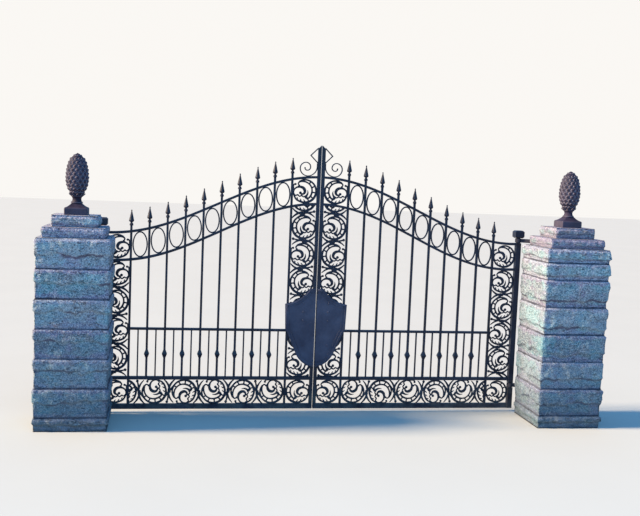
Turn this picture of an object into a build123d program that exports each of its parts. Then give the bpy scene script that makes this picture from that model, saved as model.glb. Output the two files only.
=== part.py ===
from build123d import *
import math
import os

# A wrought iron driveway gate: two leaves with an ogee top, hung behind two
# rock-faced stone piers that carry pineapple finials.
# Millimetres. X runs along the gate, +Y is the drive side behind the gate,
# Z is up. The gate's own plane is y = 0 and its middle is x = 0 while it is
# modelled; place() moves every piece to the middle of the whole footprint.

# Leaf frame
bar_pitch = 160.0          # main bars, centre to centre
bar_count = 10             # main bars in a leaf
bar_size = 20.0            # square main bar
dog_bar_size = 13.0        # thin bar halfway between two main bars
leaf_gap = 8.0             # clear gap between the two closed leaves
meeting_stile_width = 30.0
stile_depth = 32.0
inner_panel_width = 222.0  # clear width of the scroll panel at the meeting stile
outer_panel_width = 217.0  # clear width of the scroll panel at the heel stile
heel_stile_size = 48.0     # square heel stile that the leaf turns on
rail_depth = 32.0

ground_gap = 34.0          # floor to the underside of the leaf
bottom_rail_height = 46.0
bottom_panel_height = 227.0
lower_rail_height = 28.0
mid_rail_z = 775.0
mid_rail_height = 21.0

upper_arch_low = 1643.0    # rail centre at the heel stile
upper_arch_rise = 565.0    # from the heel stile up to the middle of the gate
lower_arch_low = 1396.0
lower_arch_rise = 564.0
arch_rail_height = 23.0

# Bar ornaments
spear_base = 62.0          # foot of the spear above the centre of the top rail
spear_length = 134.0
spear_radius = 23.0
collar_z = 545.0           # middle of the diamond collar on each main bar
collar_height = 74.0
collar_width = 46.0
oval_bar = 12.0            # square bar that the ovals are bent from
oval_side_gap = 2.0        # oval to main bar

# Cast scrollwork
cast_depth = 12.0
cast_line = 16.0           # width of the main vine
cast_thin = 11.0           # width of the second arc and the fork
cast_tie = 9.0             # width of the short ties between the two
tie_angle = 24             # degrees from one tie to the next
leaf_share = 0.26          # width of a leaf as a share of its scroll's radius
tall_pitch = 257.0         # spacing of the scrolls in the upright panels
bottom_pitch = 270.0       # and along the foot of the leaf
trim = 1.5                 # how far a scroll is cut back where it meets a bar

# Crest and plaque
crest_rise = 292.0         # top rail's crown to the tip of the meeting stile
crest_bar = 9.0
crest_depth = 16.0
crest_reach = 68.0         # how far the half diamond stands off the stile
crest_curl = 54.0          # radius at the top of the spiral on the top rail
crest_turns = [1.63, 1.3, 1.0, 0.78, 0.56, 0.4]  # quarter turns as shares of that
shield_top = 1173.0
shield_half_width = 292.0
shield_height = 738.0
shield_thickness = 8.0

# Hinges
journal_radius = 20.0
journal_clearance = 1.0
strap_height = 36.0
strap_play = 6.0           # journal above and below the strap
strap_wall = 9.0
arm_width = 14.0
anchor_width = 70.0
anchor_thickness = 8.0
upper_hinge_z = 1679.0     # on the lower cap of each pier
lower_hinge_z = 262.0
heel_cap_size = 88.0
heel_cap_height = 72.0

# Piers
pier_width = 616.0
pier_depth = 590.0
pier_behind = 45.0         # rear face of the piers to the gate's plane
left_pier_x = -2152.0
right_pier_x = 2296.0
base_course = 115.0
course_height = 251.0
left_courses = [course_height] * 6
right_courses = [course_height] * 5 + [155.0, 125.0]
pitch_edge = 14.0          # how far a block's face falls back to its joint
lower_cap_width = 527.0
lower_cap_height = 88.0
upper_cap_width = 393.0
upper_cap_height = 98.0
cap_edge = 10.0
plinth_width = 192.0
plinth_height = 62.0
plinth_slope = 38.0
neck_radius = 40.0
neck_height = 66.0
pineapple_radius = 94.0
pineapple_height = 350.0
scale_bulge = 5.0          # how far each ring of scales swells out
scale_rings = [            # height and radius where two rings meet, as shares
    (0.0, 0.5),
    (0.09, 0.74),
    (0.2, 0.9),
    (0.31, 0.98),
    (0.42, 1.0),
    (0.53, 0.98),
    (0.64, 0.94),
    (0.75, 0.86),
    (0.85, 0.74),
    (0.93, 0.55),
    (1.0, 0.22),
]

# Worked out from the sizes above
stile_in = leaf_gap / 2
panel_start = stile_in + meeting_stile_width
first_bar = panel_start + inner_panel_width + bar_size / 2
last_bar = first_bar + (bar_count - 1) * bar_pitch
panel_end = last_bar + bar_size / 2 + outer_panel_width
heel_axis = panel_end + heel_stile_size / 2
bottom_rail_top = ground_gap + bottom_rail_height
lower_rail_bottom = bottom_rail_top + bottom_panel_height
lower_rail_top = lower_rail_bottom + lower_rail_height
upper_arch_run = 0.97 * heel_axis
lower_arch_run = 0.94 * heel_axis
stile_top = upper_arch_low + upper_arch_rise + crest_rise
bars_at = [first_bar + i * bar_pitch for i in range(bar_count)]
journal_length = strap_height + 2 * strap_play
pier_y = -pier_behind - pier_depth / 2
lower_cap_depth = lower_cap_width + pier_depth - pier_width
upper_cap_depth = upper_cap_width + pier_depth - pier_width
cap_wall_y = pier_y + lower_cap_depth / 2
middle_x = (left_pier_x + right_pier_x) / 2
back_y = max(heel_stile_size, heel_cap_size) / 2
front_y = -pier_behind - pier_depth
middle_y = (back_y + front_y) / 2


def upper_arch(u):
    """Height of the top rail's centre at the distance u from the gate's middle."""
    turn = min(u / upper_arch_run, 1.0)
    return upper_arch_low + upper_arch_rise * (1 + math.cos(math.pi * turn)) / 2


def lower_arch(u):
    """Height of the second rail's centre at the distance u from the middle."""
    turn = min(u / lower_arch_run, 1.0)
    return lower_arch_low + lower_arch_rise * (1 + math.cos(math.pi * turn)) / 2


def upright(outline, depth, y=0.0):
    """Stand a flat outline up in the gate's plane, with its thickness about y."""
    return Pos(0, y, 0) * (Rot(90, 0, 0) * extrude(outline, depth / 2, both=True))


def block(u0, u1, z0, z1, depth, y=0.0):
    """A straight bar between two distances from the middle and two heights."""
    size = Box(u1 - u0, depth, z1 - z0)
    return Pos((u0 + u1) / 2, y, (z0 + z1) / 2) * size


def panel_rect(u0, u1, z0, z1):
    return Pos((u0 + u1) / 2, (z0 + z1) / 2) * Rectangle(u1 - u0, z1 - z0)


def curve_points(height_at, shift, u0, u1, steps=10):
    return [
        (u0 + (u1 - u0) * i / steps, height_at(u0 + (u1 - u0) * i / steps) + shift)
        for i in range(steps + 1)
    ]


def arch_outline(height_at, u0, u1, low, high):
    """The strip between two copies of a rail's curve, shifted down and up."""
    under = Spline(curve_points(height_at, low, u0, u1))
    over = Spline(curve_points(height_at, high, u0, u1))
    return make_face([under, Line(under @ 1, over @ 1), over, Line(over @ 0, under @ 0)])


def arc_band(radius, width, start, sweep):
    """A bent strip: an arc about the origin with the given line width."""
    outer = CenterArc((0, 0), radius + width / 2, start, sweep)
    inner = CenterArc((0, 0), radius - width / 2, start, sweep)
    return make_face([outer, Line(outer @ 1, inner @ 1), inner, Line(inner @ 0, outer @ 0)])


def strip(p, q, width):
    """A straight strip from p to q."""
    length = math.dist(p, q)
    angle = math.degrees(math.atan2(q[1] - p[1], q[0] - p[0]))
    return Pos((p[0] + q[0]) / 2, (p[1] + q[1]) / 2) * Rot(0, 0, angle) * Rectangle(length, width)


def polar(radius, angle):
    return (radius * math.cos(math.radians(angle)), radius * math.sin(math.radians(angle)))


def leaf_blade(length, width):
    """A pointed leaf along +X from the origin: two arcs that meet at both ends."""
    back = ThreePointArc((0, 0), (length / 2, width / 2), (length, 0))
    front = ThreePointArc((length, 0), (length / 2, -width / 2), (0, 0))
    return make_face([back, front])


def scroll_unit(radius):
    """One scroll of the cast vine, open to +X: a rim that ends in two balls, a
    second arc tied to it by short bars, a spiral that curls in from the second
    arc, and leaves in the crescent and in the opening."""
    rim = radius - cast_line / 2
    second = 0.62 * radius
    curl = 0.42 * radius
    eye = 0.24 * radius
    curl_x = second - curl
    eye_x = curl_x - curl + eye
    wide = leaf_share * radius
    parts = [
        arc_band(rim, cast_line, 48, 280),
        arc_band(second, cast_thin, 62, 298),
        Pos(curl_x, 0) * arc_band(curl, cast_line, 0, 182),
        Pos(eye_x, 0) * arc_band(eye, cast_thin, 178, 160),
        Pos(eye_x, 0) * Pos(*polar(eye, 335)) * Circle(cast_thin),
        Pos(*polar(second, 62)) * Circle(cast_thin),
    ]
    for angle in (48, 328):
        parts.append(Pos(*polar(rim - 0.3 * cast_line, angle)) * Circle(0.8 * cast_line))
    for angle, turn, length in ((18, 40, 0.42), (0, 0, 0.38), (342, 320, 0.42), (318, 300, 0.34)):
        root = polar(second, angle)
        parts.append(Pos(*root) * Rot(0, 0, turn) * leaf_blade(length * radius, wide))
    for angle, turn, length in ((330, 172, 0.32), (290, 128, 0.30)):
        root = polar(second, angle)
        parts.append(Pos(*root) * Rot(0, 0, turn) * leaf_blade(length * radius, wide))
    for angle in range(78, 320, tie_angle):
        parts.append(strip(polar(second, angle), polar(rim, angle), cast_tie))
    return Sketch() + parts


def stem(radius, pitch):
    """The part of the vine between a scroll open to +Y and the next one: a
    slanting stem, a fork of two arcs above it, and a tendril and a leaf below."""
    rim = radius - cast_line / 2
    fork = 1.17 * radius
    wide = leaf_share * radius
    lean = math.degrees(math.acos(min(2 * rim / pitch, 0.999)))
    leave = polar(rim, -lean)
    arrive = polar(rim, 180 - lean)
    middle = (pitch / 2, 0)
    ball = (pitch / 2 - 0.16 * radius, -radius + 1.2 * cast_line)
    return Sketch() + [
        strip(leave, (pitch + arrive[0], arrive[1]), cast_line),
        arc_band(fork, cast_thin, -4, 56),
        Pos(pitch, 0) * arc_band(fork, cast_thin, 126, 50),
        Pos(*middle) * Rot(0, 0, 90) * leaf_blade(0.72 * radius, 0.8 * wide),
        Pos(*middle) * Rot(0, 0, -62) * leaf_blade(0.74 * radius, 0.8 * wide),
        strip((pitch / 2 - 0.04 * radius, 0), ball, cast_tie),
        Pos(*ball) * Circle(0.7 * cast_line),
    ]


def vine(across, pitch, count, first_up=True):
    """A running vine along +X that fills a panel of the given width: scrolls
    alternately open to +Y and -Y, the first about the origin."""
    radius = across / 2 + trim
    unit = scroll_unit(radius)
    link = stem(radius, pitch)
    parts = []
    for i in range(count):
        at = Pos(i * pitch, 0)
        up = (i % 2 == 0) == first_up
        parts.append(at * (Rot(0, 0, 90 if up else -90) * unit))
        parts.append(at * (link if up else mirror(link, Plane.XZ)))
    return Sketch() + parts


# One leaf
def heel_stile():
    top = upper_hinge_z + journal_length / 2
    side = heel_stile_size
    body = block(panel_end, panel_end + side, ground_gap, top, side)
    for z in (lower_hinge_z, upper_hinge_z):
        ring = Box(2 * side, 2 * side, journal_length) - Cylinder(journal_radius, journal_length)
        body -= Pos(heel_axis, 0, z) * ring
    size = heel_cap_size
    cap = Pos(heel_axis, 0, top + heel_cap_height / 2) * Box(size, size, heel_cap_height)
    cap = chamfer(cap.edges().filter_by(Axis.Z, reverse=True), 12)
    return body + cap


def meeting_stile():
    shoulder = stile_top - meeting_stile_width
    outline = Polyline(
        (stile_in, ground_gap),
        (panel_start, ground_gap),
        (panel_start, shoulder),
        (stile_in, stile_top),
        close=True,
    )
    return upright(make_face(outline), stile_depth)


def pickets():
    """Ten square bars with a cast spear on each, and diamond collars on the
    eight bars that do not edge a scroll panel."""
    bars = []
    for i, u in enumerate(bars_at):
        edge_bar = i in (0, bar_count - 1)
        low = bottom_rail_top if edge_bar else lower_rail_top
        top = upper_arch(u) + spear_base
        half = bar_size / 2
        bar = block(u - half, u + half, low, top, bar_size)
        bar += Pos(u, 0, top) * spear()
        if not edge_bar:
            bar += Pos(u, 0, collar_z) * collar()
        bars.append(bar)
    return bars


def spear():
    r = spear_radius
    h = spear_length
    foot = Polyline((0, 0), (0.7 * r, 0), (0.7 * r, 0.05 * h), (0.42 * r, 0.1 * h), (0.42 * r, 0.16 * h))
    swell = ThreePointArc((0.42 * r, 0.16 * h), (0.86 * r, 0.2 * h), (r, 0.28 * h))
    blade = Polyline((r, 0.28 * h), (0.16 * r, 0.92 * h), (0.28 * r, 0.96 * h), (0, h), (0, 0))
    return revolve(Rot(90, 0, 0) * make_face([foot, swell, blade]), Axis.Z)


def collar():
    """A forged diamond on the bar: two square pyramids, foot to foot."""
    low = Pos(0, 0, -collar_height / 2) * Rectangle(bar_size, bar_size)
    wide = Rectangle(collar_width, collar_width)
    high = Pos(0, 0, collar_height / 2) * Rectangle(bar_size, bar_size)
    return loft([low, wide], ruled=True) + loft([wide, high], ruled=True)


def punched(rail, bars):
    """A rail with the holes that the bars pass through."""
    for u in bars:
        rail -= Pos(u, 0, 0) * Box(bar_size, bar_size, 2 * stile_top)
    return rail


def dog_bars():
    half = dog_bar_size / 2
    top = mid_rail_z - mid_rail_height / 2
    return [
        block(u + bar_pitch / 2 - half, u + bar_pitch / 2 + half, lower_rail_top, top, dog_bar_size)
        for u in bars_at[:-1]
    ]


def ovals(upper_rail, lower_rail):
    """A bent oval in each bay between the two arched rails, cut to sit on both."""
    rings = []
    half_width = (bar_pitch - bar_size) / 2 - oval_side_gap
    for u in bars_at[:-1]:
        middle = u + bar_pitch / 2
        slope = (upper_arch(middle + 5) - upper_arch(middle - 5)) / 10
        clear = upper_arch(middle) - lower_arch(middle) - arch_rail_height / math.cos(math.atan(slope))
        reach = clear / 2 + trim
        half_height = math.sqrt(reach ** 2 - (half_width * slope) ** 2)
        height = (upper_arch(middle) + lower_arch(middle)) / 2
        ring = Ellipse(half_width, half_height) - Ellipse(half_width - oval_bar, half_height - oval_bar)
        oval = upright(Pos(middle, height) * ring, oval_bar)
        rings.append(oval - upper_rail - lower_rail)
    return rings


def square_scroll(u0, u1, middle_z, opens):
    """A single scroll in a square of a panel, open towards the angle given."""
    radius = (u1 - u0) / 2 + trim
    unit = Pos((u0 + u1) / 2, middle_z) * Rot(0, 0, opens) * scroll_unit(radius)
    return upright(unit & panel_rect(u0, u1, middle_z - radius, middle_z + radius), cast_depth)


def inner_scrolls(lower_rail, upper_rail):
    """The castings beside the meeting stile: the vine climbs from the lower rail."""
    u0 = panel_start
    u1 = bars_at[0] - bar_size / 2
    middle = (u0 + u1) / 2
    radius = inner_panel_width / 2
    room = lower_arch(middle) - arch_rail_height / 2 - lower_rail_top
    count = max(1, int((room - 2 * radius) / tall_pitch) + 1)
    climb = Rot(0, 0, 90) * vine(inner_panel_width, tall_pitch, count, first_up=False)
    climb = Pos(middle, lower_rail_top + radius) * climb
    tall = upright(climb & panel_rect(u0, u1, lower_rail_top, upper_arch(0)), cast_depth)
    high = square_scroll(u0, u1, (lower_arch(middle) + upper_arch(middle)) / 2, 0)
    corner = square_scroll(u0, u1, (bottom_rail_top + lower_rail_bottom) / 2, 90)
    return [tall & below_arch(), high - lower_rail - upper_rail, corner]


def below_arch():
    """Everything in the leaf that lies under the lower arched rail."""
    under = Spline(curve_points(lower_arch, -arch_rail_height / 2, panel_start, panel_end))
    left = Line((panel_start, 0), under @ 0)
    right = Line(under @ 1, (panel_end, 0))
    return upright(make_face([left, under, right, Line(right @ 1, left @ 0)]), 2 * rail_depth)


def outer_scrolls(lower_rail, upper_rail):
    """The castings beside the heel stile: the vine hangs from the arched rail."""
    u0 = bars_at[-1] + bar_size / 2
    u1 = panel_end
    middle = (u0 + u1) / 2
    radius = outer_panel_width / 2
    ceiling = lower_arch(middle) - arch_rail_height / 2
    count = max(1, int((ceiling - lower_rail_top - 2 * radius) / tall_pitch) + 1)
    hang = Rot(0, 0, -90) * vine(outer_panel_width, tall_pitch, count, first_up=False)
    hang = Pos(middle, ceiling - radius) * hang
    tall = upright(hang & panel_rect(u0, u1, lower_rail_top, ceiling + radius), cast_depth)
    high = square_scroll(u0, u1, (lower_arch(middle) + upper_arch(middle)) / 2, 180)
    corner = square_scroll(u0, u1, (bottom_rail_top + lower_rail_bottom) / 2, 90)
    return [tall & below_arch(), high - lower_rail - upper_rail, corner]


def bottom_scrolls():
    """The running vine along the foot of the leaf: it starts at the inner bar,
    and its last scroll is cut off by the outer one."""
    u0 = bars_at[0] + bar_size / 2
    u1 = bars_at[-1] - bar_size / 2
    radius = bottom_panel_height / 2
    count = math.ceil((u1 - u0 - radius) / bottom_pitch) + 1
    run = Pos(u0 + radius, bottom_rail_top + radius) * vine(bottom_panel_height, bottom_pitch, count)
    return upright(run & panel_rect(u0, u1, bottom_rail_top, lower_rail_bottom), cast_depth)


def crest_scroll(upper_rail):
    """The flat bar beside the meeting stile: half a diamond from the point,
    then down the stile and out into a spiral that rests on the top rail."""
    u = panel_start
    shoulder = stile_top - meeting_stile_width
    corner = (u + crest_reach, shoulder - crest_reach + 4)
    foot = (u - 2, corner[1] - crest_reach - 2)
    edge = u + crest_bar / 2
    first = crest_curl * crest_turns[0]
    rest_z = upper_arch(edge + first) + arch_rail_height / 2
    start_z = rest_z + first + crest_bar / 2 - 1
    parts = [
        strip((u - 6, shoulder + 10), (corner[0] + 2, corner[1] - 2), crest_bar),
        strip((corner[0] + 2, corner[1] + 2), foot, crest_bar),
        strip((edge, max(foot[1], start_z + crest_bar)), (edge, start_z - 2), crest_bar),
    ]
    place_u = edge
    place_z = start_z
    for quarter, share in enumerate(crest_turns):
        radius = crest_curl * share
        angle = 180 + 90 * quarter
        centre_u = place_u - polar(radius, angle)[0]
        centre_z = place_z - polar(radius, angle)[1]
        parts.append(Pos(centre_u, centre_z) * arc_band(radius, crest_bar, angle - 2, 94))
        place_u = centre_u + polar(radius, angle + 90)[0]
        place_z = centre_z + polar(radius, angle + 90)[1]
    parts.append(Pos(place_u, place_z) * Circle(0.7 * crest_bar))
    beside = panel_rect(u, edge + 4 * crest_curl, rest_z - crest_curl, stile_top)
    return upright((Sketch() + parts) & beside, crest_depth) - upper_rail


def shield_half():
    """Half of the plain plaque: raised middle, hollow shoulder, straight side
    and a tapering point."""
    w = shield_half_width
    top = shield_top
    h = shield_height
    u = stile_in + 3
    tip = (u, top - h)
    outline = [
        Line(tip, (u, top)),
        Line((u, top), (0.22 * w, top)),
        ThreePointArc((0.22 * w, top), (0.54 * w, top - 0.13 * h), (0.98 * w, top - 0.195 * h)),
        Line((0.98 * w, top - 0.195 * h), (w, top - 0.2 * h)),
        Line((w, top - 0.2 * h), (0.97 * w, top - 0.53 * h)),
        Line((0.97 * w, top - 0.53 * h), (0.905 * w, top - 0.565 * h)),
        Line((0.905 * w, top - 0.565 * h), (0.6 * w, top - 0.84 * h)),
        ThreePointArc((0.6 * w, top - 0.84 * h), (0.4 * w, top - 0.94 * h), tip),
    ]
    y = -stile_depth / 2 - shield_thickness / 2
    return upright(make_face(outline), shield_thickness, y)


def leaf():
    """Every piece of the left leaf, drawn on the +X side of the middle."""
    u0 = panel_start
    u1 = panel_end
    half = arch_rail_height / 2
    upper = upright(arch_outline(upper_arch, u0, u1, -half, half), rail_depth)
    upper = punched(upper, bars_at)
    lower = upright(arch_outline(lower_arch, u0, u1, -half, half), rail_depth)
    lower = punched(lower, bars_at)
    low_rail = block(u0, u1, lower_rail_bottom, lower_rail_top, rail_depth)
    low_rail = punched(low_rail, [bars_at[0], bars_at[-1]])
    inner_bar = bars_at[0] + bar_size / 2
    outer_bar = bars_at[-1] - bar_size / 2
    mid_low = mid_rail_z - mid_rail_height / 2
    mid_rail = block(inner_bar, outer_bar, mid_low, mid_low + mid_rail_height, rail_depth)
    mid_rail = punched(mid_rail, bars_at[1:-1])
    return {
        "heel_stile": heel_stile(),
        "meeting_stile": meeting_stile(),
        "bottom_rail": block(u0, u1, ground_gap, bottom_rail_top, rail_depth),
        "lower_rail": low_rail,
        "mid_rail": mid_rail,
        "lower_arch": lower,
        "upper_arch": upper,
        "pickets": pickets(),
        "dog_bars": dog_bars(),
        "ovals": ovals(upper, lower),
        "outer_scrolls": outer_scrolls(lower, upper),
        "inner_scrolls": inner_scrolls(lower, upper),
        "bottom_scrolls": bottom_scrolls(),
        "crest_scroll": crest_scroll(upper),
        "shield": shield_half(),
    }


# Piers and hinges
def stone(width, depth, height, edge):
    """A block whose face falls back to the joint above and below."""
    base = Rectangle(width - 2 * edge, depth - 2 * edge)
    face = Rectangle(width, depth)
    low = loft([base, Pos(0, 0, edge) * face], ruled=True)
    middle = extrude(Pos(0, 0, edge) * face, height - 2 * edge)
    high = loft([Pos(0, 0, height - edge) * face, Pos(0, 0, height) * base], ruled=True)
    return low + middle + high


def pier_shaft(courses):
    shaft = stone(pier_width, pier_depth, base_course, pitch_edge)
    z = base_course
    for height in courses:
        shaft += Pos(0, 0, z) * stone(pier_width, pier_depth, height, pitch_edge)
        z += height
    return shaft


def finial_base():
    block_part = extrude(Rectangle(plinth_width, plinth_width), plinth_height)
    foot = Pos(0, 0, plinth_height) * Rectangle(plinth_width - 16, plinth_width - 16)
    head = Pos(0, 0, plinth_height + plinth_slope) * Rectangle(2 * neck_radius, 2 * neck_radius)
    return block_part + loft([foot, head], ruled=True)


def pineapple():
    """The fruit on its round neck: rings of scales, one above the other."""
    n = neck_radius
    rings = [(r * pineapple_radius, neck_height + t * pineapple_height) for t, r in scale_rings]
    outline = [Polyline((0, 0), (n, 0), (n - 4, 0.5 * neck_height), rings[0])]
    for low, high in zip(rings, rings[1:]):
        length = math.dist(low, high)
        out_x = scale_bulge * (high[1] - low[1]) / length
        out_z = scale_bulge * (low[0] - high[0]) / length
        middle = ((low[0] + high[0]) / 2 + out_x, (low[1] + high[1]) / 2 + out_z)
        outline.append(ThreePointArc(low, middle, high))
    outline.append(Polyline(rings[-1], (0, rings[-1][1]), (0, 0)))
    return revolve(Rot(90, 0, 0) * make_face(outline), Axis.Z)


def pier(x, courses):
    total = base_course + sum(courses)
    at = Pos(x, pier_y, 0)
    upper_z = total + lower_cap_height
    plinth_z = upper_z + upper_cap_height
    neck_z = plinth_z + plinth_height + plinth_slope
    lower_cap = stone(lower_cap_width, lower_cap_depth, lower_cap_height, cap_edge)
    upper_cap = stone(upper_cap_width, upper_cap_depth, upper_cap_height, cap_edge)
    return {
        "pier_shaft": at * pier_shaft(courses),
        "pier_lower_cap": at * (Pos(0, 0, total) * lower_cap),
        "pier_upper_cap": at * (Pos(0, 0, upper_z) * upper_cap),
        "finial_base": at * (Pos(0, 0, plinth_z) * finial_base()),
        "pineapple": at * (Pos(0, 0, neck_z) * pineapple()),
    }


def hinge(axis_x, anchor_x, wall_y, z):
    """A strap round the heel stile's journal, with an arm to a plate on the
    stone behind it."""
    bore = journal_radius + journal_clearance
    plate_y = wall_y + anchor_thickness / 2
    arm = extrude(strip((axis_x, 0), (anchor_x, plate_y), arm_width), strap_height / 2, both=True)
    ring = Pos(axis_x, 0, 0) * Cylinder(bore + strap_wall, strap_height)
    plate = Pos(anchor_x, plate_y, 0) * Box(anchor_width, anchor_thickness, strap_height)
    hole = Pos(axis_x, 0, 0) * Cylinder(bore, strap_height)
    reach = pier_width + pier_depth
    clear_of_wall = Pos(axis_x, wall_y + reach / 2, 0) * Box(2 * reach, reach, reach)
    return Pos(0, 0, z) * ((ring + arm + plate - hole) & clear_of_wall)


def place(piece, mirrored=False):
    """Mirror a leaf piece if asked, and move it to the middle of the footprint."""
    if mirrored:
        piece = mirror(piece, Plane.YZ)
    return Pos(-middle_x, -middle_y, 0) * piece


def save(name, pieces):
    if not isinstance(pieces, list):
        pieces = [pieces]
    solids = [solid for piece in pieces for solid in piece.solids()]
    shape = Compound(children=solids) if len(solids) > 1 else solids[0]
    export_step(shape, f"parts/{name}.step")


os.makedirs("parts", exist_ok=True)

for name, piece in leaf().items():
    pieces = piece if isinstance(piece, list) else [piece]
    save(f"left_{name}", [place(p, mirrored=True) for p in pieces])
    save(f"right_{name}", [place(p) for p in pieces])

sides = {
    "left": (-heel_axis, -heel_axis, -heel_axis, left_pier_x, left_courses),
    "right": (
        heel_axis,
        right_pier_x - lower_cap_width / 2 + cap_edge + anchor_width / 2 + 2,
        right_pier_x - pier_width / 2 + pitch_edge + anchor_width / 2 + 2,
        right_pier_x,
        right_courses,
    ),
}
for side, (axis_x, upper_x, lower_x, pier_x, courses) in sides.items():
    for name, piece in pier(pier_x, courses).items():
        save(f"{side}_{name}", place(piece))
    save(f"{side}_upper_hinge", place(hinge(axis_x, upper_x, cap_wall_y, upper_hinge_z)))
    save(f"{side}_lower_hinge", place(hinge(axis_x, lower_x, -pier_behind, lower_hinge_z)))
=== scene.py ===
import bmesh
import bpy
import math
from mathutils import Matrix, Vector


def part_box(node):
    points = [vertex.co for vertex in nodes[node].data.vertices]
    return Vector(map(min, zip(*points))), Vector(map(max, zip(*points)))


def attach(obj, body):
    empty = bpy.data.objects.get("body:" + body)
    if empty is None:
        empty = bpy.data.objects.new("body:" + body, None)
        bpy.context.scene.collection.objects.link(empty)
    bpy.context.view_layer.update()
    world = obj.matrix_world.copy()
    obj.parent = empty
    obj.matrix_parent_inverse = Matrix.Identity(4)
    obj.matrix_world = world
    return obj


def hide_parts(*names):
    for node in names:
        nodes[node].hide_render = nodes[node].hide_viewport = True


# A wrought iron driveway gate between rock-faced piers. Metres, in the CAD frame:
# x along the gate, y towards the drive behind it, z up.

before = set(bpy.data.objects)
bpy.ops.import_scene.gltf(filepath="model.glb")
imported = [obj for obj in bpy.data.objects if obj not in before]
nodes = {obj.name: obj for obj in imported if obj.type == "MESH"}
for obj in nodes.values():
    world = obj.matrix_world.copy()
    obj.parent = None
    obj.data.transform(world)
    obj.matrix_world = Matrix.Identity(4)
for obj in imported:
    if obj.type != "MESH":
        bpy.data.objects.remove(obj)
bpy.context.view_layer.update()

sides = ("left", "right")

# Sizes that the dressed pieces share with the solids. A leaf is drawn on the +x side
# of the line where the leaves meet, with u as the distance from that line.
gate_x = -0.072            # the line where the leaves meet
gate_y = 0.2955            # the gate's own plane
bar_pitch = 0.160
bar_count = 10
bar_size = 0.020
first_bar = 0.266
bars_at = [first_bar + i * bar_pitch for i in range(bar_count)]
panel_start = 0.034        # the meeting stile's edge
panel_end = 1.933          # the heel stile's edge
heel_axis = 1.957
bottom_rail_top = 0.080
lower_rail_bottom = 0.307
lower_rail_top = 0.335
arch_rail_half = 0.0115    # half the height of an arched rail
upper_arch_low = 1.643
upper_arch_rise = 0.565
upper_arch_run = 0.97 * heel_axis
lower_arch_low = 1.396
lower_arch_rise = 0.564
lower_arch_run = 0.94 * heel_axis
spear_base = 0.062         # foot of the spear above the middle of the top rail
spear_length = 0.134

# Piers
pier_width = 0.616
pier_depth = 0.590
pier_y = -0.0445
pier_x = {"left": -2.224, "right": 2.224}
pier_joints = {
    "left": [0.115, 0.366, 0.617, 0.868, 1.119, 1.370],
    "right": [0.115, 0.366, 0.617, 0.868, 1.119, 1.370, 1.525],
}
pier_top = {"left": 1.621, "right": 1.650}
lower_cap = (0.527, 0.501, 0.088)
upper_cap = (0.393, 0.367, 0.098)
plinth_height = 0.100

# Cast scrollwork
cast_line = 0.016          # width of a rim
cast_thick = 0.014         # front to back
tall_pitch = 0.257         # spacing of the scrolls in the upright panels
bottom_pitch = 0.270       # and along the foot of the leaf
trim = 0.0015              # how far a scroll runs into the bar beside it
same_point = 1e-6          # points nearer than this are one


def arch(u, low, rise, run):
    """Height of the middle of an arched rail, level at the heel stile and at the crown."""
    return low + rise * (1 + math.cos(math.pi * min(u / run, 1.0))) / 2


def upper_arch(u):
    return arch(u, upper_arch_low, upper_arch_rise, upper_arch_run)


def lower_arch(u):
    return arch(u, lower_arch_low, lower_arch_rise, lower_arch_run)


class Field:
    """A number or vector that changes over a surface, with + - * / on it."""

    def __init__(self, maker, socket):
        self.maker = maker
        self.socket = socket

    def maths(self, operation, first, second=0.0):
        return self.maker.node("ShaderNodeMath", {"operation": operation}, {0: first, 1: second})

    def __add__(self, other):
        return self.maths("ADD", self, other)

    def __radd__(self, other):
        return self.maths("ADD", other, self)

    def __sub__(self, other):
        return self.maths("SUBTRACT", self, other)

    def __rsub__(self, other):
        return self.maths("SUBTRACT", other, self)

    def __mul__(self, other):
        return self.maths("MULTIPLY", self, other)

    def __rmul__(self, other):
        return self.maths("MULTIPLY", other, self)

    def __truediv__(self, other):
        return self.maths("DIVIDE", self, other)

    def __rtruediv__(self, other):
        return self.maths("DIVIDE", other, self)

    def __abs__(self):
        return self.maths("ABSOLUTE", self)

    def __gt__(self, other):
        return self.maths("GREATER_THAN", self, other)

    def __lt__(self, other):
        return self.maths("LESS_THAN", self, other)

    def sign(self):
        return self.maths("SIGN", self)

    def sine(self):
        return self.maths("SINE", self)

    def modulo(self, other):
        return self.maths("MODULO", self, other)

    def least(self, other):
        return self.maths("MINIMUM", self, other)

    def most(self, other):
        return self.maths("MAXIMUM", self, other)

    def smooth(self, low, high):
        """0 below low, 1 above high, and an even change between them."""
        return self.maker.node(
            "ShaderNodeMapRange",
            {"interpolation_type": "SMOOTHSTEP"},
            {"Value": self, "From Min": low, "From Max": high},
        )


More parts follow.
